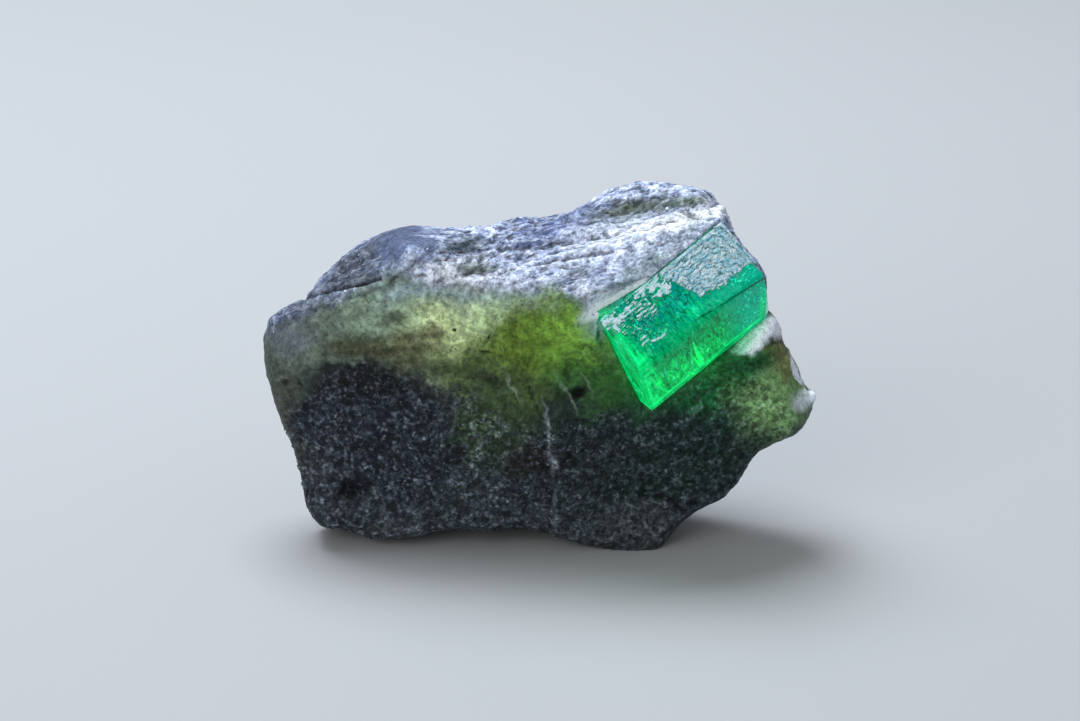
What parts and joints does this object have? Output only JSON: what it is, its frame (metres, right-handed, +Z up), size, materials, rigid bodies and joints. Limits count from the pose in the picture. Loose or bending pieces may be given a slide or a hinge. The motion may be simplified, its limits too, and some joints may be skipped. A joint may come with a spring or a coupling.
{
  "type": "emerald in matrix",
  "caption": "Stubby six-sided green beryl crystal sunk slantwise in the upper right front of a lump of pale, sugary grey-green rock.",
  "frame": {"origin": "middle of the bounding box, on the resting plane", "axes": "+X along the lump's longest side, towards the end that holds the crystal; the crystal faces -Y; +Z up"},
  "size_m": [0.0478, 0.027, 0.0305],
  "materials": {
    "matrix": "rough, fractured and frosted stone",
    "emerald": "natural crystal faces, partly etched"
  },
  "bodies": {
    "root": {"matrix_rock": "matrix", "emerald_crystal": "emerald"}
  },
  "joints": []
}
